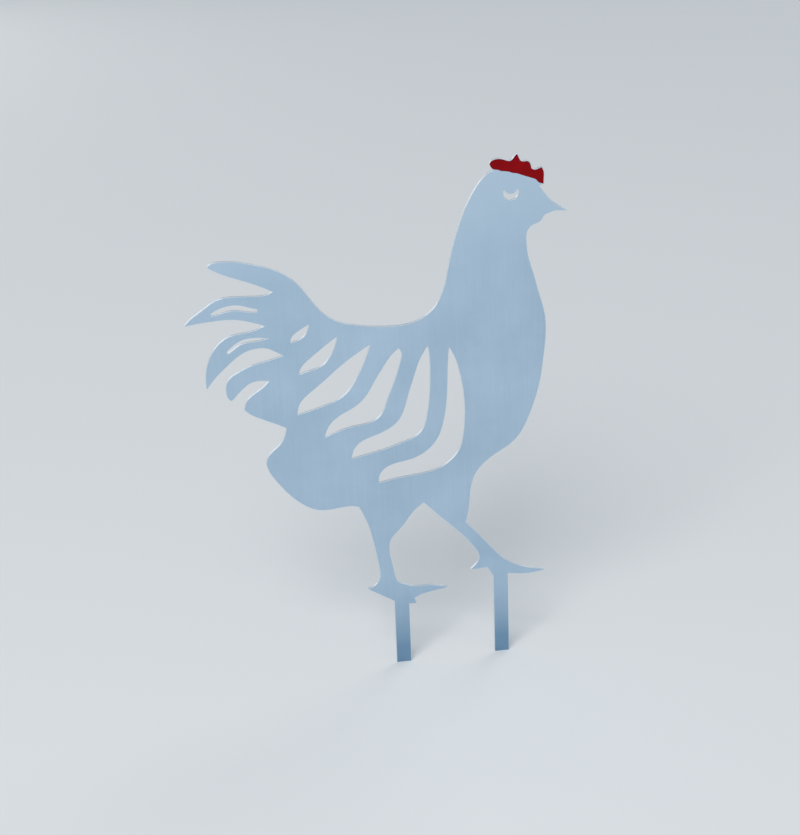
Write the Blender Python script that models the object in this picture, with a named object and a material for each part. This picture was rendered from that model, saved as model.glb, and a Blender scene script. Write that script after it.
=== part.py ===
"""A hen for the garden, cut from one flat metal sheet that stands in the ground on two stakes.

The sheet stands in the XZ plane and is seen from -Y, with the hen's head towards +X. The origin is in
the middle of the front stake, where it meets the ground.
"""

import math

import bmesh
import bpy
import numpy as np

# Driving dimensions, in metres
SHEET_THICKNESS = 0.003
HEN_HEIGHT = 0.577  # from the sole of the front foot to the tip of the comb
SOLE_HEIGHT = 0.1155  # from the ground to the sole of the front foot
STAKE_WIDTH = 0.020
EYE_RADIUS = 0.0093  # the round lower edge of the eye
EYELID_RADIUS = 0.0086  # the round that cuts the eye to a crescent
EYELID_RISE = 0.0064  # from the middle of the eye up to the middle of the lid's round

# Curves are cut into straight facets that leave them by no more than this, in metres
FACET_BULGE = 0.00004

# The hen is drawn by hand on a grid of millimetres, as (along, up) from the front stake's foot, and
# takes its real size from the dimensions above.
DRAWN_HEIGHT = 577.0
DRAWN_SOLE = 115.5
DRAWN_REAR_STAKE = (-133.5, 0)
DRAWN_EYE = (21.5, 643)

# A run is a smooth curve from one corner to the next, whose first point is where the next run begins.
# The runs go round the hen anticlockwise. A foot's edge is drawn to the middle of its stake, and stops
# at the stake's side.
FRONT_TOE_UNDERSIDE = [(0, 119), (20, 115.5), (33, 114), (46, 114.5), (56, 116)]
BREAST_SIDE = [
    # Tip of the front toe
    [(59.5, 116.5)],
    # Top of the toe and front of the shank
    [(60, 118), (50, 120.5), (38, 123), (26, 127.5), (14.5, 133.5), (4.5, 141), (-5, 151.5), (-29.5, 182)],
    # Thigh, breast, throat and underside of the beak
    [
        (-44.5, 199.5), (-41, 214), (-38.5, 235), (-35.5, 254), (-29, 270.5), (-19, 282), (-3, 294),
        (13.5, 304), (26.5, 316), (37, 333.5), (46.5, 357), (55, 386), (60.5, 420), (64, 455),
        (63, 480), (56.5, 507), (49, 535.5), (42.5, 560), (40.5, 580), (42.5, 593), (48.5, 599),
        (54.5, 601), (60, 605), (63, 610), (70, 613), (77, 615), (84, 614.5),
    ],
    # Tip of the beak
    [(91, 614)],
]
FOREHEAD_AND_COMB = [
    # Ridge of the beak and forehead
    [(91.5, 615.5), (85, 619), (78.5, 624), (71, 630), (64.5, 638.5)],
    # Notch under the comb
    [(57, 649)],
    # Front of the comb
    [(63, 650.5), (63.5, 660), (63, 668)],
    # Front point and the dip behind it
    [(60.5, 673), (57, 672), (52.5, 670.5)],
    # Step up to the comb's shoulder
    [(48, 672), (46.5, 678.5), (43, 682), (37, 682)],
    # Front slope of the tall point
    [(34, 683.5), (32.5, 687)],
    # Back slope of the tall point, and the long lobe that ends behind the head
    [
        (30, 692.5), (27, 690), (24, 686), (20.5, 684), (15, 685.5), (8, 687.5), (1, 687), (-3.5, 684.5),
        (-5, 681), (-3.5, 677),
    ],
]
BACK_AND_TAIL = [
    # Back of the head and neck, the saddle and the top of the upper feather
    [
        (-0.5, 673), (-6, 670.5), (-13.5, 664), (-20.5, 655.5), (-28.5, 642.5), (-37, 625.5), (-46, 601),
        (-53, 578.5), (-60.5, 546), (-64.5, 529), (-69.5, 516.5), (-77.5, 502.5), (-91, 491.5),
        (-109, 484.5), (-130, 483), (-153, 484.5), (-176, 488.5), (-197, 494.5), (-211.5, 503.5),
        (-225, 518.5), (-240, 541), (-255, 558), (-273, 569.5), (-296, 578), (-323, 585), (-343, 586),
        (-352, 583.5),
    ],
    # Underside of the upper feather
    [(-355, 579.5), (-340, 570.5), (-318, 561), (-296, 551.5)],
    # Top of the second feather
    [
        (-277.5, 542), (-285, 538.5), (-295, 538), (-320, 539.5), (-338, 539.5), (-350, 535.5),
        (-367.5, 524), (-380.5, 515),
    ],
    # Its tip
    [(-387.5, 508)],
    # Its underside
    [(-387, 506.5), (-372, 508.5), (-350, 510), (-331, 510), (-315, 507)],
    # Top and outer edge of the third feather
    [
        (-290, 498.5), (-303, 493.5), (-320, 491), (-335, 488), (-348.5, 479), (-358, 467),
        (-365, 450), (-367.5, 433),
    ],
    # Its tip
    [(-367.5, 422)],
    # Its inner edge
    [
        (-366, 421), (-355.5, 434), (-343, 446), (-328, 458.5), (-314, 466.5), (-301, 469),
        (-289, 468), (-279.5, 463),
    ],
    # Top, round end and inner edge of the fourth feather
    [
        (-269.5, 457), (-286, 452.5), (-313, 446), (-326, 440), (-337, 433), (-342.5, 424.5),
        (-343.5, 415), (-341.5, 406), (-337.5, 402.5), (-332, 406.5), (-321.5, 417), (-312, 423.5),
        (-301, 425.5),
    ],
    # Top of the fifth feather
    [(-289, 424.5), (-296.5, 417), (-310.5, 407.5), (-318.5, 400)],
    # Its lower edge
    [(-322.5, 388.5), (-317, 383), (-301, 373.5)],
]
BELLY_SIDE = [
    # Rump and belly
    [
        (-271.5, 358.5), (-273, 350.5), (-280.5, 336.5), (-294, 324), (-299.5, 313), (-297, 301),
        (-287, 283.5), (-273.5, 265.5), (-257.5, 250), (-242, 240.5), (-224, 237.5), (-208, 239),
        (-196, 239.5),
    ],
    # Back of the rear leg and top of its claw
    [
        (-184.5, 237.5), (-175, 214), (-168, 185.5), (-163, 155.5), (-161, 140), (-161.5, 131),
        (-165.5, 122.5), (-172, 118.5),
    ],
    # Tip of the claw
    [(-177.5, 117)],
]
REAR_SOLE = [(-177, 115), (-157, 102.5), (-133.5, 87.5)]
REAR_HEEL_UNDERSIDE = [(-133.5, 88), (-113, 87)]
CROTCH_SIDE = [
    # Front of the heel
    [(-113, 87)],
    # Underside of the rear toe
    [(-116, 95), (-109, 98.5), (-97, 101.5), (-82, 104), (-75.5, 105)],
    # Tip of the toe
    [(-71, 106.5)],
    # Top of the toe, and front of the rear leg up to the crotch
    [
        (-71, 108), (-80, 109.5), (-92, 112.5), (-107, 113), (-120, 114.5), (-130, 118.5), (-136, 121.5),
        (-139, 127), (-142, 142), (-145, 158), (-146.5, 172), (-144, 185.5), (-132, 199), (-121, 213),
        (-113, 223),
    ],
    # Back of the front leg and top of its claw
    [
        (-99.5, 234), (-83.5, 216.5), (-59, 191), (-42.5, 172), (-33, 158.5), (-29, 150), (-29, 143),
        (-33, 136),
    ],
    # Tip of the claw
    [(-39.5, 130)],
    # Underside of the claw
    [(-39, 128.5), (-31, 128.5), (-24, 129)],
]
FRONT_HEEL = [(-17.5, 129), (0, 97.5)]

# Slots that part the feathers of the wing, from the tail to the breast: the edge below each, from its
# upper point round to its lower one, and the edge above it on the way back
WING_SLOTS = [
    [
        [(-235.5, 495), (-238.5, 485), (-243, 479), (-251, 475)],
        [(-259, 473), (-257.5, 479), (-248.5, 487)],
    ],
    [
        [(-201, 475.5), (-206, 460), (-213, 447), (-221.5, 438.5), (-235, 434)],
        [(-251, 429.5), (-248, 437.5), (-236.5, 449), (-220.5, 461.5)],
    ],
    [
        [(-160.5, 460.5), (-168.5, 439), (-178, 419.5), (-187.5, 404), (-198.5, 393.5), (-217, 385.5)],
        [(-255.5, 375), (-253, 387.5), (-243, 399.5), (-225, 413.5), (-204.5, 430.5), (-183, 446.5)],
    ],
    [
        [
            (-124.5, 452), (-121.5, 446), (-123, 435), (-131.5, 409), (-142.5, 382), (-148.5, 366.5),
            (-155.5, 359), (-167, 354.5), (-188, 351.5), (-207, 346.5),
        ],
        [
            (-223, 340.5), (-217.5, 354), (-209, 363.5), (-194, 372.5), (-181, 379.5), (-169, 390.5),
            (-156, 411), (-141.5, 433.5), (-132.5, 445),
        ],
    ],
    [
        [
            (-87.5, 452), (-86, 436), (-86, 414), (-88, 381), (-92.5, 353.5), (-98, 338), (-106.5, 330),
            (-123, 323.5), (-145, 316.5), (-168, 311.5),
        ],
        [
            (-190, 307), (-186.5, 319), (-177, 329), (-160.5, 335.5), (-142, 343), (-129, 352.5),
            (-121, 366), (-113, 391.5), (-105, 415), (-99, 432),
        ],
    ],
    [
        [
            (-60.5, 447.5), (-53.5, 432), (-47.5, 408.5), (-43.5, 380), (-43, 352), (-46, 323), (-51.5, 304),
            (-61, 292.5), (-74, 283.5), (-91, 278), (-116, 275), (-138, 272.5),
        ],
        [
            (-156.5, 269), (-154.5, 281), (-147, 289), (-135, 294), (-118, 297), (-102.5, 302),
            (-88.5, 311.5), (-78, 324.5), (-71.5, 341), (-67, 362), (-64, 390), (-62.5, 420),
        ],
    ],
]
# Slits that show the shafts of the second and third tail feathers
TAIL_SLITS = [
    [
        [(-354, 520), (-345, 525), (-335, 527.5), (-325.5, 528.5), (-315, 526.5), (-304, 522.5)],
        [(-297.5, 520.5)],
        [(-297.5, 517), (-309, 518.5), (-319, 521), (-329, 522), (-339, 520.5), (-347, 518.5)],
        [(-353.5, 517.5)],
    ],
    [
        [(-339, 468), (-330, 475.5), (-319.5, 481.5), (-307.5, 483.5), (-298, 483)],
        [(-287, 481.5), (-299, 479.5), (-312, 478.5), (-323, 475.5), (-331, 470)],
        [(-337.5, 466)],
    ],
]


def placed(run):
    """Move the drawn points of a run to their real places on the sheet, as (x, z) in metres."""
    scale = HEN_HEIGHT / DRAWN_HEIGHT
    return [np.array((along * scale, SOLE_HEIGHT + (up - DRAWN_SOLE) * scale)) for along, up in run]


def bends_at(knots, spans):
    """Second derivatives at the knots of the smooth curve through them, which ends straight."""
    system = np.eye(len(knots))
    pull = np.zeros_like(knots)
    for i in range(1, len(knots) - 1):
        before, after = spans[i - 1], spans[i]
        system[i, i - 1 : i + 2] = before, 2 * (before + after), after
        pull[i] = 6 * ((knots[i + 1] - knots[i]) / after - (knots[i] - knots[i - 1]) / before)
    return np.linalg.solve(system, pull)


def curve_through(knots):
    """Points along the smooth curve through the knots, closer together where it bends more."""
    knots = np.array(knots)
    spans = np.linalg.norm(np.diff(knots, axis=0), axis=1)
    bends = bends_at(knots, spans)
    points = [knots[0]]
    for i, span in enumerate(spans):
        sharpest = max(np.linalg.norm(bends[i]), np.linalg.norm(bends[i + 1]))
        steps = max(1, math.ceil(span * math.sqrt(sharpest / (8 * FACET_BULGE))))
        for step in range(1, steps + 1):
            ahead = step / steps
            behind = 1 - ahead
            straight = behind * knots[i] + ahead * knots[i + 1]
            bend = (behind**3 - behind) * bends[i] + (ahead**3 - ahead) * bends[i + 1]
            points.append(straight + bend * span**2 / 6)
    return points


def closed_outline(runs):
    """Points round an outline whose runs each end where the next one begins."""
    points = []
    for run, following in zip(runs, runs[1:] + runs[:1]):
        points += curve_through(run + following[:1])[:-1]
    return points


def cut_at(inner, outer, x):
    """Where the line from inner to outer crosses the stake's side at x."""
    share = (x - inner[0]) / (outer[0] - inner[0])
    return inner + share * (outer - inner)


def hen_outline():
    """Points round the whole sheet, anticlockwise from the front stake's right side."""
    half = STAKE_WIDTH / 2
    rear_middle = placed([DRAWN_REAR_STAKE])[0][0]

    toe = placed(FRONT_TOE_UNDERSIDE)
    toe[0] = cut_at(toe[0], toe[1], half)
    sole = placed(REAR_SOLE)
    sole_corner = cut_at(sole[2], sole[1], rear_middle - half)
    heel_underside = placed(REAR_HEEL_UNDERSIDE)
    heel_corner = cut_at(heel_underside[0], heel_underside[1], rear_middle + half)
    front_heel = placed(FRONT_HEEL)
    front_heel_corner = cut_at(front_heel[1], front_heel[0], -half)

    runs = [[np.array((half, 0.0))], toe]
    runs += [placed(run) for run in BREAST_SIDE + FOREHEAD_AND_COMB + BACK_AND_TAIL + BELLY_SIDE]
    runs += [sole[:2], [sole_corner], [np.array((rear_middle - half, 0.0))]]
    runs += [[np.array((rear_middle + half, 0.0))], [heel_corner]]
    runs += [placed(run) for run in CROTCH_SIDE]
    runs += [front_heel[:1], [front_heel_corner], [np.array((-half, 0.0))]]
    return closed_outline(runs)


def arc(middle, radius, start, end):
    """Points along an arc from one angle to another, without its last point."""
    widest_step = 2 * math.acos(1 - FACET_BULGE / radius)
    steps = math.ceil(abs(end - start) / widest_step)
    angles = [start + (end - start) * step / steps for step in range(steps)]
    return [middle + radius * np.array((math.cos(angle), math.sin(angle))) for angle in angles]


def eye_outline():
    """Points round the eye, a crescent with its horns up between its own round and the lid's."""
    eye = placed([DRAWN_EYE])[0]
    lid = eye + np.array((0.0, EYELID_RISE))
    horn_rise = (EYE_RADIUS**2 - EYELID_RADIUS**2 + EYELID_RISE**2) / (2 * EYELID_RISE)
    horn_reach = math.sqrt(EYE_RADIUS**2 - horn_rise**2)
    on_eye = math.atan2(horn_rise, horn_reach)
    on_lid = math.atan2(horn_rise - EYELID_RISE, horn_reach)
    below = arc(eye, EYE_RADIUS, math.pi - on_eye, 2 * math.pi + on_eye)
    above = arc(lid, EYELID_RADIUS, on_lid, -math.pi - on_lid)
    return below + above


def add_loop(bm, outline, y):
    """Draw a closed outline as edges in the plane at y."""
    verts = [bm.verts.new((x, y, z)) for x, z in outline]
    for vert, following in zip(verts, verts[1:] + verts[:1]):
        bm.edges.new((vert, following))


def sheet_mesh():
    """The hen as a closed plate: the outline with its cut-outs, filled and given the sheet's thickness."""
    cut_outs = [closed_outline([placed(run) for run in runs]) for runs in WING_SLOTS + TAIL_SLITS]
    bm = bmesh.new()
    for outline in [hen_outline(), eye_outline()] + cut_outs:
        add_loop(bm, outline, -SHEET_THICKNESS / 2)
    bmesh.ops.triangle_fill(bm, use_beauty=True, edges=bm.edges[:], normal=(0, -1, 0))
    back = bmesh.ops.extrude_face_region(bm, geom=bm.faces[:])["geom"]
    back_verts = [item for item in back if isinstance(item, bmesh.types.BMVert)]
    bmesh.ops.translate(bm, verts=back_verts, vec=(0, SHEET_THICKNESS, 0))
    bmesh.ops.recalc_face_normals(bm, faces=bm.faces[:])
    mesh = bpy.data.meshes.new("chicken_sheet")
    bm.to_mesh(mesh)
    bm.free()
    mesh.shade_smooth()
    mesh.set_sharp_from_angle(angle=math.radians(30))
    return mesh


def brushed_metal():
    """Bare mill-finish sheet that mirrors a blue sky softly."""
    material = bpy.data.materials.new("bare_sheet_metal")
    material.use_nodes = True
    shader = material.node_tree.nodes["Principled BSDF"]
    shader.inputs["Base Color"].default_value = (0.42, 0.53, 0.66, 1.0)
    shader.inputs["Metallic"].default_value = 1.0
    shader.inputs["Roughness"].default_value = 0.4
    return material


def build():
    for old in list(bpy.data.objects):
        bpy.data.objects.remove(old)
    mesh = sheet_mesh()
    mesh.materials.append(brushed_metal())
    bpy.context.scene.collection.objects.link(bpy.data.objects.new("chicken_sheet", mesh))


build()
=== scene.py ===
# %% [markdown]
# This lesson dresses a garden hen that is cut from one flat sheet of metal. Its outline, legs and stakes
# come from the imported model, which is loaded here as a fixed frame and never changed. What follows builds
# a finer sheet on that outline, gives it its finish, and sets up a plain studio with the photograph's
# viewing angle.

import math

import bmesh
import bpy
from mathutils import Matrix, Vector
from mathutils.bvhtree import BVHTree


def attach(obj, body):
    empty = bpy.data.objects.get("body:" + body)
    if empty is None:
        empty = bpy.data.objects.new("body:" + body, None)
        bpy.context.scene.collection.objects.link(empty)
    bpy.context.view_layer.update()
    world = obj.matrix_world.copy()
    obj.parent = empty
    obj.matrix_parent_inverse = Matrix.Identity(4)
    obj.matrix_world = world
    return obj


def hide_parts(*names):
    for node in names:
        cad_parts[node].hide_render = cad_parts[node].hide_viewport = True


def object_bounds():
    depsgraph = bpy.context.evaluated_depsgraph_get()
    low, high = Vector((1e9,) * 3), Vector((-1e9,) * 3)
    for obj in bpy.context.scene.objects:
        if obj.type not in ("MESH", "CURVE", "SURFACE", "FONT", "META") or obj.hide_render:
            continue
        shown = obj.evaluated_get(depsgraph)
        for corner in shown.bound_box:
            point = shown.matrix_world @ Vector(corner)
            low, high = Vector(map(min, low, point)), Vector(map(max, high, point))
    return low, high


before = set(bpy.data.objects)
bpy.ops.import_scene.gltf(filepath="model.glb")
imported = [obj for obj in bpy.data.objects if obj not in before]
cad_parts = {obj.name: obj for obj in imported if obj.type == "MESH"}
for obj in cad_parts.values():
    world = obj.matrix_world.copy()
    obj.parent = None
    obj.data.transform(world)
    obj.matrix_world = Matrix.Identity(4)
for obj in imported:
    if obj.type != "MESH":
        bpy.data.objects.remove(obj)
low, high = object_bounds()
middle = (low + high) / 2
print(f"The sheet is {1000 * (high.x - low.x):.1f} mm long and {1000 * (high.z - low.z):.1f} mm tall")

# %% [markdown]
# The real hen is cut out of the sheet by a machine, so all of its shape lies in one outline and a few
# holes. The frame's mesh is loose triangles, so a copy is welded first. Then its two flat faces go and
# only the walls of the cut stay, because the faces are laid again below with a finer edge. The welded
# walls are pairs of triangles, and dissolving their diagonals gives clean four-sided strips.

# %% Keep the walls of the cut
WELD = 0.000001
FLAT = 0.999


def is_flat(face):
    """True for a face that lies in one of the sheet's two sides."""
    return abs(face.normal.y) > FLAT


def runs_slantwise(edge):
    """True for the diagonal of a wall, which crosses the thickness and also moves along the outline."""
    step = edge.verts[1].co - edge.verts[0].co
    return abs(step.y) > WELD and math.hypot(step.x, step.z) > WELD


sheet = bmesh.new()
sheet.from_mesh(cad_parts["chicken_sheet"].data)
bmesh.ops.remove_doubles(sheet, verts=sheet.verts, dist=WELD)
flat_faces = [face for face in sheet.faces if is_flat(face)]
bmesh.ops.delete(sheet, geom=flat_faces, context="FACES")
diagonals = [edge for edge in sheet.edges if runs_slantwise(edge)]
bmesh.ops.dissolve_edges(sheet, edges=diagonals)
most_corners = max(len(face.verts) for face in sheet.faces)
print(f"The cut has {len(sheet.faces)} walls, none with more than {most_corners} corners")

# %% [markdown]
# A cut edge is never razor sharp. A light rub with an abrasive pad leaves a narrow bright border on the
# face, next to a small rounded corner, and the border's lighter colour is also a painted highlight along
# the edge. The border is laid by extruding each rim and moving the new points inwards by the border's
# width. Where the metal is very narrow, as at the tip of a feather, two borders would cross, so a search
# for the nearest wall shortens the step there. At a pointed end the step stays long enough for the round
# corner that is cut later. The rim's points carry a value of one and the inner points zero, so that the
# finish can fade from one to the other.

# %% Lay the rubbed border along every rim
BORDER = 0.0008
CORNER_ROUND = 0.0002
CLEAR_SHARE = 0.9
SHORTER = 0.8
TIP_ROOM = 1.3


def step_inwards(vert, walls):
    """How far, and which way, a rim's point moves to the inner edge of the border."""
    factor = vert.calc_shell_factor()
    reach = BORDER * factor
    while walls.find_nearest(vert.co - vert.normal * reach)[3] < CLEAR_SHARE * reach / factor:
        reach *= SHORTER
    clear = walls.find_nearest(vert.co - vert.normal * reach)[3]
    return -vert.normal * max(reach * min(1.0, BORDER / clear), TIP_ROOM * CORNER_ROUND * factor)


sheet.normal_update()
near_cut = sheet.verts.layers.float.new("near_cut")
walls = BVHTree.FromBMesh(sheet)
rims = [edge for edge in sheet.edges if edge.is_boundary]
steps = {vert: step_inwards(vert, walls) for edge in rims for vert in edge.verts}
made = bmesh.ops.extrude_edge_only(sheet, edges=rims)["geom"]
for vert in [item for item in made if isinstance(item, bmesh.types.BMVert)]:
    neighbours = [edge.other_vert(vert) for edge in vert.link_edges]
    rim_vert = next(other for other in neighbours if other in steps)
    vert.co += steps[rim_vert]
    rim_vert[near_cut] = 1.0
print(f"The border follows {len(rims)} rim edges")

# %% [markdown]
# The comb is the only part with colour. It is painted by hand on the bare sheet, so the paint has no
# height to model: it is an area of the face with its own material. It fills the comb up to the rubbed
# border, and its lower edge is where a brush followed the top of the head. That brush line is a few
# listed points, joined by a smooth curve, and it wavers a little as a hand does.

# %% Draw the brush line under the comb
BRUSH_LINE = [
    (59.4, 651.9), (56.0, 653.4), (52.8, 657.2), (49.6, 658.8), (45.0, 660.6), (40.0, 662.4),
    (35.0, 664.5), (29.5, 666.7), (23.8, 667.9), (19.5, 669.6), (15.0, 670.6), (10.0, 671.3),
    (6.3, 672.9), (3.6, 673.6), (1.0, 674.0),
]
COMB_FRONT_CORNER = (63.0, 650.5)
COMB_BACK_CORNER = (-1.5, 675.4)
LINE_STEPS = 3


def on_face(point, side):
    """A place on the sheet, given in millimetres along and up, as a point of the face on that side."""
    along, up = point
    return Vector((along / 1000, side * high.y, up / 1000))


def eased(before, start, end, after, share):
    """A point part of the way from start to end, on the smooth curve that also heeds their neighbours."""
    leaving = (end - before) / 2
    arriving = (after - start) / 2
    turn = 3 * (end - start) - 2 * leaving - arriving
    settle = 2 * (start - end) + leaving + arriving
    return start + leaving * share + turn * share**2 + settle * share**3


def brush_points(first, last, side):
    """The points of the brush line between two points of the border's inner edge."""
    knots = [first] + [on_face(point, side) for point in BRUSH_LINE] + [last]
    padded = [knots[0]] + knots + [knots[-1]]
    shares = [step / LINE_STEPS for step in range(LINE_STEPS)]
    points = [eased(*padded[i:i + 4], share) for i in range(len(knots) - 1) for share in shares]
    return points[1:]


print(f"The brush line is held by {len(BRUSH_LINE)} points")

# %% [markdown]
# Each face is filled inside its border. The brush line splits the outer loop in two, and the comb is what
# lies above it. Its outline is found by walking along the border's inner edge from the comb's front
# corner to its back corner. A loop can be walked both ways, and the comb's way is the shorter one.

# %% Walk round the comb
def nearest(verts, place):
    """The point of a loop that lies closest to a place."""
    return min(verts, key=lambda vert: (vert.co - place).length)


def shorter_way(start, end, edges):
    """The edges that lead along a closed loop from start to end, the shorter way round."""
    ways = []
    for first in [edge for edge in start.link_edges if edge in edges]:
        way, vert = [first], first.other_vert(start)
        while vert != end:
            onward = next(edge for edge in vert.link_edges if edge in edges and edge != way[-1])
            way.append(onward)
            vert = onward.other_vert(vert)
        ways.append(way)
    return min(ways, key=len)


print(f"The comb runs from {COMB_FRONT_CORNER} to {COMB_BACK_CORNER}, in millimetres")

# %% [markdown]
# The bare metal and the comb are filled one after the other, and they share the line's points. Triangle
# fill copes with the holes by itself: every loop that lies inside another becomes an opening. The hidden
# face is painted the same way, because the comb would look odd with one bare side. Wet paint gathers
# along its edge and dries darker there, so a narrow ring is set inside the paint to carry that line. In
# the comb's sharp points the ring's corners would pass each other, so those that come close are joined.

# %% Fill both faces
BARE, CUT, PAINT = 0, 1, 2
COAT_EDGE = 0.0005


def lay_metal(edges, side):
    """Fill the loops with flat triangles of bare metal, and leave the loops inside them open."""
    made = bmesh.ops.triangle_fill(sheet, use_beauty=True, edges=edges, normal=(0, side, 0))["geom"]
    return [item for item in made if isinstance(item, bmesh.types.BMFace)]


def paint_comb(outline):
    """Fill the comb with one face, and set a narrow ring inside it for the coat's thick edge."""
    comb = bmesh.ops.contextual_create(sheet, geom=outline)["faces"][0]
    comb.material_index = PAINT
    comb.normal_update()
    for vert in comb.verts:
        vert[coat_edge] = 1.0
    bmesh.ops.inset_individual(sheet, faces=[comb], thickness=COAT_EDGE, use_even_offset=False)
    for vert in comb.verts:
        vert[coat_edge] = 0.0
    bmesh.ops.remove_doubles(sheet, verts=comb.verts, dist=COAT_EDGE)
    return bmesh.ops.triangulate(sheet, faces=[comb])["faces"]


def lay_face(side):
    """Fill one side of the sheet, bare metal and painted comb."""
    inner = {edge for edge in sheet.edges if edge.is_boundary and edge.verts[0].co.y * side > 0}
    verts = {vert for edge in inner for vert in edge.verts}
    front = nearest(verts, on_face(COMB_FRONT_CORNER, side))
    back = nearest(verts, on_face(COMB_BACK_CORNER, side))
    comb_rim = shorter_way(front, back, inner)
    line = [front] + [sheet.verts.new(point) for point in brush_points(front.co, back.co, side)] + [back]
    brush_edges = [sheet.edges.new(pair) for pair in zip(line, line[1:])]
    bare = lay_metal(list(inner.difference(comb_rim)) + brush_edges, side)
    painted = paint_comb(comb_rim + brush_edges)
    return len(painted), len(bare)


coat_edge = sheet.verts.layers.float.new("coat_edge")
sheet.normal_update()
for face in sheet.faces:
    face.material_index = BARE if is_flat(face) else CUT
for side, name in ((-1, "shown"), (1, "hidden")):
    painted_count, bare_count = lay_face(side)
    print(f"The {name} face has {painted_count} painted and {bare_count} bare triangles")

# %% [markdown]
# The corner between wall and face is rounded with a bevel of two segments. It comes after the filling,
# when every rim edge has a wall on one side and the border on the other, so the bevel meets nothing but
# four-sided strips. Sides, round corners and walls are then parted by sharp edges, which keeps a large
# flat face from shading like a cushion.

# %% Round the corners and set the shading
SHARP_TURN = math.radians(28)
SQUARE = 0.05


def is_wall(face):
    """True for a face that stands square to the two sides."""
    return abs(face.normal.y) < SQUARE


sheet.normal_update()
rims = [edge for edge in sheet.edges if {is_flat(face) for face in edge.link_faces} == {True, False}]
rounded = bmesh.ops.bevel(
    sheet, geom=rims, offset=CORNER_ROUND, offset_type="OFFSET", affect="EDGES", segments=2,
    profile=0.5, material=-1, clamp_overlap=False,
)
for face in rounded["faces"]:
    face.material_index = CUT
bmesh.ops.recalc_face_normals(sheet, faces=sheet.faces)
sheet.normal_update()
for face in sheet.faces:
    face.smooth = True
for edge in sheet.edges:
    kinds = {(is_flat(face), is_wall(face)) for face in edge.link_faces}
    edge.smooth = len(kinds) == 1 and edge.calc_face_angle() < SHARP_TURN
open_edges = sum(not edge.is_manifold for edge in sheet.edges)
print(f"{len(rims)} rim edges were rounded, and {open_edges} edges are open")

# %% [markdown]
# Brushed metal stretches its highlights across the grain. The shader needs to know which way that is, so
# the piece gets a plain map laid over the sheet as seen from the front, with its first direction along
# the hen and its second one up. The place across the thickness is added to both, so that walls take up
# some of the map too.

# %% Make the piece
plan = sheet.loops.layers.uv.new("sheet_plan")
for face in sheet.faces:
    for loop in face.loops:
        loop[plan].uv = (loop.vert.co.x + loop.vert.co.y, loop.vert.co.z + loop.vert.co.y)

mesh = bpy.data.meshes.new("hen_sheet")
sheet.to_mesh(mesh)
sheet.free()
hen = bpy.data.objects.new("hen_sheet", mesh)
bpy.context.scene.collection.objects.link(hen)
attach(hen, "root")
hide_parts("chicken_sheet")
triangles = sum(len(face.vertices) - 2 for face in mesh.polygons)
print(f"The finished sheet has {triangles} triangles")

# %% [markdown]
# All the finishes are built from two effects, each a node group. The first one is streaks: noise that is
# squeezed across one direction and drawn out along another. On the face it is the grain of the rolled
# and brushed sheet, on the walls the fine marks of the cutting beam, and on the comb the brush strokes.

# %% A node group for streaks
def new_group(name, inputs, outputs):
    """An empty shader node group with float or vector inputs and float outputs."""
    tree = bpy.data.node_groups.new(name, "ShaderNodeTree")
    for label, kind, value in inputs:
        socket = tree.interface.new_socket(label, in_out="INPUT", socket_type=kind)
        socket.default_value = value
    for label in outputs:
        tree.interface.new_socket(label, in_out="OUTPUT", socket_type="NodeSocketFloat")
    return tree, tree.nodes.new("NodeGroupInput").outputs, tree.nodes.new("NodeGroupOutput").inputs


def noise_in(tree, place, detail, roughness):
    """Noise of unit scale, read at a place that is already scaled."""
    noise = tree.nodes.new("ShaderNodeTexNoise")
    noise.inputs["Scale"].default_value = 1.0
    noise.inputs["Detail"].default_value = detail
    noise.inputs["Roughness"].default_value = roughness
    tree.links.new(place, noise.inputs["Vector"])
    return noise.outputs["Fac"]


def scaled_in(tree, place, scale):
    """A place multiplied by a vector socket or value."""
    times = tree.nodes.new("ShaderNodeVectorMath")
    times.operation = "MULTIPLY"
    tree.links.new(place, times.inputs[0])
    if isinstance(scale, bpy.types.NodeSocket):
        tree.links.new(scale, times.inputs[1])
    else:
        times.inputs[1].default_value = scale
    return times.outputs["Vector"]


streaks, given, wanted = new_group(
    "streaks",
    [("Place", "NodeSocketVector", (0, 0, 0)), ("Marks per Metre", "NodeSocketVector", (1, 1, 1))],
    ["Fine", "Broad"],
)
BROAD_SHARE = (0.12, 0.12, 0.3)
fine_place = scaled_in(streaks, given["Place"], given["Marks per Metre"])
broad_place = scaled_in(streaks, fine_place, BROAD_SHARE)
streaks.links.new(noise_in(streaks, fine_place, detail=3.0, roughness=0.65), wanted["Fine"])
streaks.links.new(noise_in(streaks, broad_place, detail=2.0, roughness=0.5), wanted["Broad"])
print("Group streaks gives", [item.name for item in streaks.interface.items_tree if item.in_out == "OUTPUT"])

# %% [markdown]
# The second effect is clouds. No sheet that has been handled is perfectly even: there are soft patches
# where it is a little duller, and smaller smudges from hands and rain. Both are round noise, one large
# and one small, and they stay faint.

# %% A node group for clouds
clouds, given, wanted = new_group(
    "clouds",
    [("Place", "NodeSocketVector", (0, 0, 0))],
    ["Patches", "Smudges"],
)
PATCHES_PER_METRE = 9.0
SMUDGES_PER_METRE = 55.0
patch_place = scaled_in(clouds, given["Place"], (PATCHES_PER_METRE,) * 3)
smudge_place = scaled_in(clouds, given["Place"], (SMUDGES_PER_METRE,) * 3)
clouds.links.new(noise_in(clouds, patch_place, detail=2.0, roughness=0.5), wanted["Patches"])
clouds.links.new(noise_in(clouds, smudge_place, detail=4.0, roughness=0.6), wanted["Smudges"])
print("Group clouds gives", [item.name for item in clouds.interface.items_tree if item.in_out == "OUTPUT"])

# %% [markdown]
# A material starts the same way each time: one Principled shader, the piece's own coordinates, and both
# groups. Values that vary over the surface are then mixed into its colour, its roughness and the height
# of a Bump node. Values that are the same all over are set on the shader itself.

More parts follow.
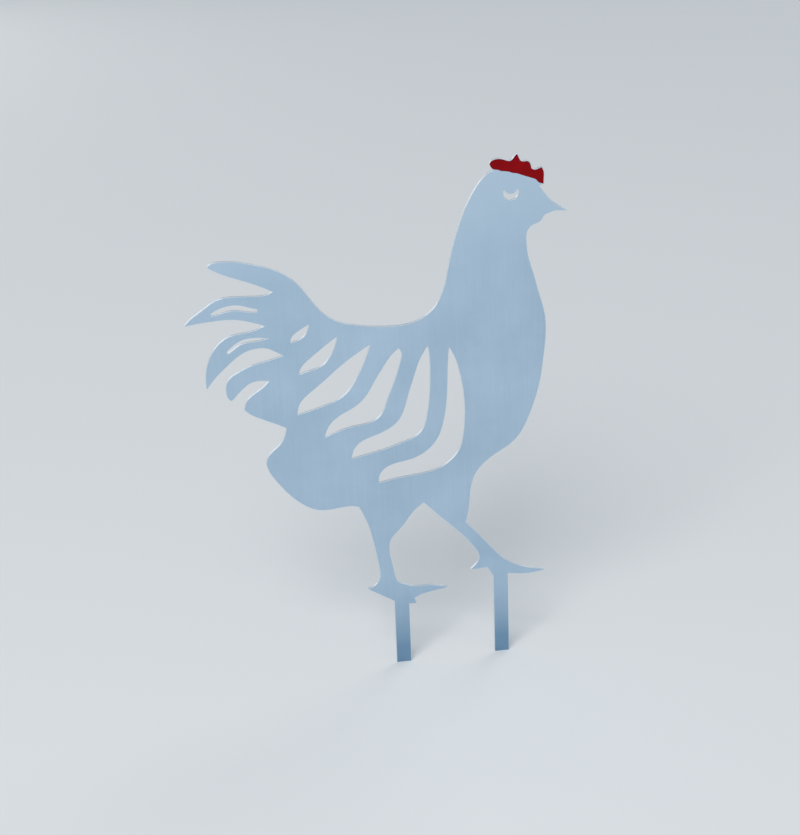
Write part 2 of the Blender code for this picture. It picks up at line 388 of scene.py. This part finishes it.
# %% Helpers for the materials
class Finish:
    """A material with its Principled shader and the sockets that the finishes read."""

    def __init__(self, name, marks_per_metre):
        self.material = bpy.data.materials.new(name)
        self.material.use_nodes = True
        self.tree = self.material.node_tree
        self.shader = self.tree.nodes["Principled BSDF"]
        self.place = self.tree.nodes.new("ShaderNodeTexCoord").outputs["Object"]
        grain = self.group(streaks)
        grain.inputs["Marks per Metre"].default_value = marks_per_metre
        self.fine, self.broad = grain.outputs["Fine"], grain.outputs["Broad"]
        cloudy = self.group(clouds)
        self.patches, self.smudges = cloudy.outputs["Patches"], cloudy.outputs["Smudges"]

    def group(self, tree):
        """Place one of the shared groups at the piece's own coordinates."""
        node = self.tree.nodes.new("ShaderNodeGroup")
        node.node_tree = tree
        self.tree.links.new(self.place, node.inputs["Place"])
        return node

    def spread(self, value, low, high, span=(0.25, 0.75)):
        """A value between low and high, as the socket goes across the span."""
        node = self.tree.nodes.new("ShaderNodeMapRange")
        node.inputs["From Min"].default_value, node.inputs["From Max"].default_value = span
        node.inputs["To Min"].default_value, node.inputs["To Max"].default_value = low, high
        self.tree.links.new(value, node.inputs["Value"])
        return node.outputs["Result"]

    def combine(self, operation, first, second):
        """Two values joined by a Math node."""
        node = self.tree.nodes.new("ShaderNodeMath")
        node.operation = operation
        for socket, value in zip(node.inputs, (first, second)):
            if isinstance(value, bpy.types.NodeSocket):
                self.tree.links.new(value, socket)
            else:
                socket.default_value = value
        return node.outputs["Value"]

    def blend_of(self, *parts):
        """The sum of several values, each times its share."""
        total = 0.0
        for value, share in parts:
            total = self.combine("ADD", total, self.combine("MULTIPLY", value, share))
        return total

    def tinted(self, amount, first, second):
        """A colour part of the way from the first to the second."""
        node = self.tree.nodes.new("ShaderNodeMix")
        node.data_type = "RGBA"
        self.tree.links.new(amount, node.inputs["Factor"])
        for socket, colour in ((node.inputs["A"], first), (node.inputs["B"], second)):
            if isinstance(colour, bpy.types.NodeSocket):
                self.tree.links.new(colour, socket)
            else:
                socket.default_value = (*colour, 1.0)
        return node.outputs["Result"]

    def bump(self, height, distance):
        """Let a height stand up by a distance in metres."""
        node = self.tree.nodes.new("ShaderNodeBump")
        node.inputs["Distance"].default_value = distance
        self.tree.links.new(height, node.inputs["Height"])
        self.tree.links.new(node.outputs["Normal"], self.shader.inputs["Normal"])

    def feed(self, name, value):
        """Give a socket of the shader a link or a fixed value."""
        socket = self.shader.inputs[name]
        if isinstance(value, bpy.types.NodeSocket):
            self.tree.links.new(value, socket)
        else:
            socket.default_value = value


print("A finish reads fine and broad streaks, patches and smudges")

# %% [markdown]
# The bare face is mill aluminium, rubbed upright along the hen's height. Its base colour is a cool blue
# grey, a painted reflection of the cool sky that bare metal mirrors, and the brightness comes from the floor
# and the lights.
# The grain shows as hairlines and as faint broader streaks, over soft clouds. Towards the ground the metal
# is painted darker and bluer, a painted shade for the darker surroundings it mirrors low down, and towards
# the head it is painted a little lighter, a painted highlight for the brighter sky it mirrors there.

# %% The bare face's tone
UPRIGHT_GRAIN = (1400.0, 0.0, 14.0)
# The dull and clear colours are tinted cool blue as a painted reflection of the sky; the spread between them
# is the metal's uneven tone.
DULL_METAL = (0.42, 0.57, 0.72)
CLEAR_METAL = (0.555, 0.705, 0.85)
# The lighter head colour is a painted highlight for the brighter sky that the upper sheet mirrors.
HEAD_HIGHLIGHT_METAL = (0.585, 0.73, 0.87)
# The dark blue colour near the ground is a painted shade.
GROUND_SHADE_METAL = (0.22, 0.365, 0.52)
SHADE_FROM, SHADE_TO, SHADE_GROWTH = 0.15, 0.025, 2.3
HIGHLIGHT_FROM, HIGHLIGHT_TO, HIGHLIGHT_SHARE = 0.54, 0.66, 0.8

face_finish = Finish("brushed_face", UPRIGHT_GRAIN)
face_tone = face_finish.blend_of(
    (face_finish.patches, 0.46), (face_finish.smudges, 0.16),
    (face_finish.broad, 0.11), (face_finish.fine, 0.27),
)
even = face_finish.tinted(face_finish.spread(face_tone, 0, 1, span=(0.35, 0.65)), DULL_METAL, CLEAR_METAL)
split = face_finish.tree.nodes.new("ShaderNodeSeparateXYZ")
face_finish.tree.links.new(face_finish.place, split.inputs["Vector"])
# Painted highlight: the metal is painted lighter towards the head.
head_highlight = face_finish.spread(split.outputs["Z"], 0, HIGHLIGHT_SHARE, span=(HIGHLIGHT_FROM, HIGHLIGHT_TO))
# Painted shade: the metal is painted darker and bluer towards the ground.
nearness = face_finish.spread(split.outputs["Z"], 0, 1, span=(SHADE_FROM, SHADE_TO))
ground_shade = face_finish.combine("POWER", nearness, SHADE_GROWTH)
# The even tone, the painted highlight at the head and the painted shade at the ground are mixed here.
tone_and_painted_light = face_finish.tinted(ground_shade, face_finish.tinted(head_highlight, even, HEAD_HIGHLIGHT_METAL), GROUND_SHADE_METAL)
# The printed heights are where the painted shade starts low down and where the painted highlight starts
# towards the head.
print(f"The metal dulls below {1000 * SHADE_FROM:.0f} mm and is cleaner above {1000 * HIGHLIGHT_FROM:.0f} mm")

# %% [markdown]
# The border beside the cut was rubbed bright, a little unevenly, as a rub by hand is, and its lighter
# colour is also a painted highlight along the edge. The grain is a relief of hairlines, and grain and
# smudges also change how sharply the metal mirrors. The Tangent node hands the map's direction to the
# shader, which stretches the highlights by it.

# %% The bare face's rub, painted edge highlight and grain
# The border colour is brighter partly for the rub and partly as a painted highlight along the cut edge.
RUB_AND_HIGHLIGHT_METAL = (0.79, 0.85, 0.90)
FACE_ROUGHNESS = (0.32, 0.44)
FACE_ANISOTROPY = 0.6
GRAIN_RELIEF = 0.00004

border = face_finish.tree.nodes.new("ShaderNodeAttribute")
border.attribute_name = "near_cut"
# Painted highlight and rub: the border beside the cut is painted brighter.
edge_rub_and_highlight = face_finish.spread(border.outputs["Fac"], 0, 1, span=(0, 0.35))
uneven_rub_and_highlight = face_finish.spread(face_finish.smudges, 0.65, 1.0, span=(0.3, 0.6))
rub_and_painted_highlight = face_finish.combine("MULTIPLY", edge_rub_and_highlight, uneven_rub_and_highlight)
face_finish.feed("Base Color", face_finish.tinted(rub_and_painted_highlight, tone_and_painted_light, RUB_AND_HIGHLIGHT_METAL))
face_finish.feed("Metallic", 1.0)
face_finish.feed("Anisotropic", FACE_ANISOTROPY)
worn = face_finish.blend_of((face_finish.smudges, 0.5), (face_finish.broad, 0.25), (face_finish.fine, 0.25))
face_finish.feed("Roughness", face_finish.spread(worn, *FACE_ROUGHNESS, span=(0.3, 0.7)))
face_finish.bump(face_finish.blend_of((face_finish.fine, 0.7), (face_finish.broad, 0.3)), GRAIN_RELIEF)
tangent = face_finish.tree.nodes.new("ShaderNodeTangent")
tangent.direction_type = "UV_MAP"
tangent.uv_map = "sheet_plan"
face_finish.feed("Tangent", tangent.outputs["Tangent"])
print("Made", face_finish.material.name)

# %% [markdown]
# The walls of the cut are fresh metal, brighter than the face. The beam that cut them left fine marks
# straight across the thickness, so here the streaks run along the thickness and change quickly along
# the outline.

# %% The cut edge
CUT_MARKS = (2600.0, 60.0, 2600.0)
DIM_CUT = (0.72, 0.79, 0.84)
BRIGHT_CUT = (0.88, 0.91, 0.93)
CUT_ROUGHNESS = (0.30, 0.44)
MARK_RELIEF = 0.00003

edge_finish = Finish("cut_edge", CUT_MARKS)
brightness = edge_finish.spread(edge_finish.broad, 0, 1)
edge_finish.feed("Base Color", edge_finish.tinted(brightness, DIM_CUT, BRIGHT_CUT))
edge_finish.feed("Metallic", 1.0)
edge_finish.feed("Roughness", edge_finish.spread(edge_finish.fine, *CUT_ROUGHNESS))
edge_finish.bump(edge_finish.fine, MARK_RELIEF)
print("Made", edge_finish.material.name)

# %% [markdown]
# The comb's paint is a thin coat of dark red, brushed on by hand. It is not metallic, has a low soft
# gloss, and shows faint strokes and blotches where the coat is thicker or thinner. The ring that was set
# inside the comb gives it a darker line at its edge, as a coat that gathers there does.

# %% The comb's paint
BRUSH_STROKES = (160.0, 0.0, 700.0)
DEEP_RED = (0.19, 0.001, 0.003)
CLEAR_RED = (0.29, 0.002, 0.005)
GATHERED_RED = (0.07, 0.001, 0.004)
GATHERED_SHARE = 0.8
PAINT_ROUGHNESS = (0.40, 0.52)
PAINT_GLOSS = 0.07
STROKE_RELIEF = 0.00004

paint_finish = Finish("comb_paint", BRUSH_STROKES)
blotch = paint_finish.blend_of((paint_finish.smudges, 0.6), (paint_finish.broad, 0.4))
thin_coat = paint_finish.spread(blotch, 0, 1, span=(0.3, 0.7))
coat = paint_finish.tinted(thin_coat, DEEP_RED, CLEAR_RED)
gathered = paint_finish.tree.nodes.new("ShaderNodeAttribute")
gathered.attribute_name = "coat_edge"
dark_edge = paint_finish.combine("MULTIPLY", gathered.outputs["Fac"], GATHERED_SHARE)
paint_finish.feed("Base Color", paint_finish.tinted(dark_edge, coat, GATHERED_RED))
paint_finish.feed("Roughness", paint_finish.spread(paint_finish.fine, *PAINT_ROUGHNESS))
paint_finish.feed("Specular IOR Level", PAINT_GLOSS)
paint_finish.bump(paint_finish.broad, STROKE_RELIEF)
print("Made", paint_finish.material.name)

# %% [markdown]
# The three finishes go onto the piece in the order of the numbers given to the faces.

# %% Put the finishes on
for finish in (face_finish, edge_finish, paint_finish):
    mesh.materials.append(finish.material)
print("Finishes:", [material.name for material in mesh.materials])

# %% [markdown]
# The studio is a wide pale floor, so wide that its end is far away in every view. It belongs to the stage
# and not to the hen.

# %% Floor
FLOOR_HALF = 60.0
FLOOR_COLOUR = (0.78, 0.78, 0.77, 1.0)
FLOOR_ROUGHNESS = 0.9
FLOOR_GLOSS = 0.1

floor_shape = bmesh.new()
bmesh.ops.create_grid(floor_shape, x_segments=2, y_segments=2, size=FLOOR_HALF)
floor_mesh = bpy.data.meshes.new("floor")
floor_shape.to_mesh(floor_mesh)
floor_shape.free()
floor = bpy.data.objects.new("floor", floor_mesh)
bpy.context.scene.collection.objects.link(floor)
floor_paint = bpy.data.materials.new("pale_floor")
floor_paint.use_nodes = True
floor_shader = floor_paint.node_tree.nodes["Principled BSDF"]
floor_shader.inputs["Base Color"].default_value = FLOOR_COLOUR
floor_shader.inputs["Roughness"].default_value = FLOOR_ROUGHNESS
floor_shader.inputs["Specular IOR Level"].default_value = FLOOR_GLOSS
floor_mesh.materials.append(floor_paint)
print(f"The floor is {2 * FLOOR_HALF:.0f} m wide")

# %% [markdown]
# The light is an even, slightly cool sky, as on an overcast day, and three soft panels. Bare metal shows
# whatever faces it. Seen from above this sheet mirrors the floor in front of it, so a large softbox
# stands in front on the left and lights that floor. A weaker one behind on the right does the same for
# the hidden side. A low panel behind on the left is what the walls that look up mirror, and it makes them
# the bright thin lines that the photograph shows.

# %% Light
SKY_COLOUR = (0.80, 0.90, 1.0, 1.0)
SKY_STRENGTH = 0.505
PANELS = [
    ("front_softbox", (-2.4, -4.4, 4.9), (3.9, 3.9), 268.0),
    ("back_softbox", (4.5, 4.5, 5.8), (4.2, 4.2), 88.0),
    ("back_panel", (-2.2, 3.8, 1.1), (2.8, 1.6), 13.5),
]


def add_panel(name, place, size, watts):
    """A rectangular soft light that faces the hen and doesn't show itself to the camera."""
    lamp = bpy.data.lights.new(name, "AREA")
    lamp.shape = "RECTANGLE"
    lamp.size, lamp.size_y = size
    lamp.energy = watts
    panel = bpy.data.objects.new(name, lamp)
    facing = (middle - Vector(place)).to_track_quat("-Z", "Y")
    panel.matrix_world = Matrix.Translation(place) @ facing.to_matrix().to_4x4()
    panel.visible_camera = False
    bpy.context.scene.collection.objects.link(panel)


for panel_values in PANELS:
    add_panel(*panel_values)

sky = bpy.data.worlds.new("soft_sky")
sky.use_nodes = True
sky_light = sky.node_tree.nodes["Background"]
sky_light.inputs["Color"].default_value = SKY_COLOUR
sky_light.inputs["Strength"].default_value = SKY_STRENGTH
bpy.context.scene.world = sky
bpy.context.scene.view_settings.view_transform = "Standard"
print(f"The hen is lit by a sky and {len(bpy.data.lights)} panels")

# %% [markdown]
# The camera looks down at the hen and slightly from its tail side, as the photograph does. The angles
# and the lens were found by laying the outline over the picture: the turn, the tilt and a small roll.

# %% Camera
CAMERA_TURN, CAMERA_TILT, CAMERA_ROLL = (math.radians(angle) for angle in (-8.0, 66.0, -2.3))
AIM = middle + Vector((0.022, 0.0, 0.011))
CAMERA_DISTANCE = 2.54
LENS_MM = 86.23

turned = Matrix.Rotation(CAMERA_TURN, 4, "Z") @ Matrix.Rotation(CAMERA_TILT, 4, "X")
camera_data = bpy.data.cameras.new("camera")
camera_data.lens = LENS_MM
camera = bpy.data.objects.new("camera", camera_data)
camera.matrix_world = (
    Matrix.Translation(AIM + turned.to_3x3() @ Vector((0, 0, CAMERA_DISTANCE)))
    @ turned @ Matrix.Rotation(CAMERA_ROLL, 4, "Z")
)
bpy.context.scene.collection.objects.link(camera)
bpy.context.scene.camera = camera
print(f"The camera stands at {[round(value, 3) for value in camera.matrix_world.translation]}")
